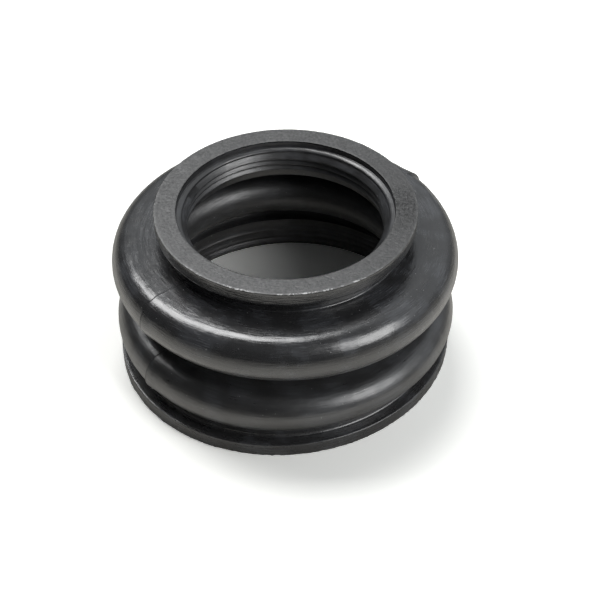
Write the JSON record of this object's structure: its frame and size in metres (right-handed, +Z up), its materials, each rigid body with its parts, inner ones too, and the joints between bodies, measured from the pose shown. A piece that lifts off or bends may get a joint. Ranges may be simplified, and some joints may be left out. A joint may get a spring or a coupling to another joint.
{
  "type": "bellows boot",
  "caption": "Round rubber bellows boot: bulging folds between a narrow top cuff and a wide base cuff, each ribbed inside and grooved outside for a clamp band, to keep dirt off a sliding joint.",
  "frame": {"origin": "centre of the base face that the boot stands on", "axes": "+Z up along the boot's round axis, from the wide base cuff to the narrow top cuff"},
  "size_m": [0.1, 0.1, 0.05],
  "materials": {
    "black_rubber": "satin moulded black rubber, ground matt and grey on the top face"
  },
  "bodies": {
    "root": {"bellows_boot": "black_rubber"}
  },
  "joints": []
}
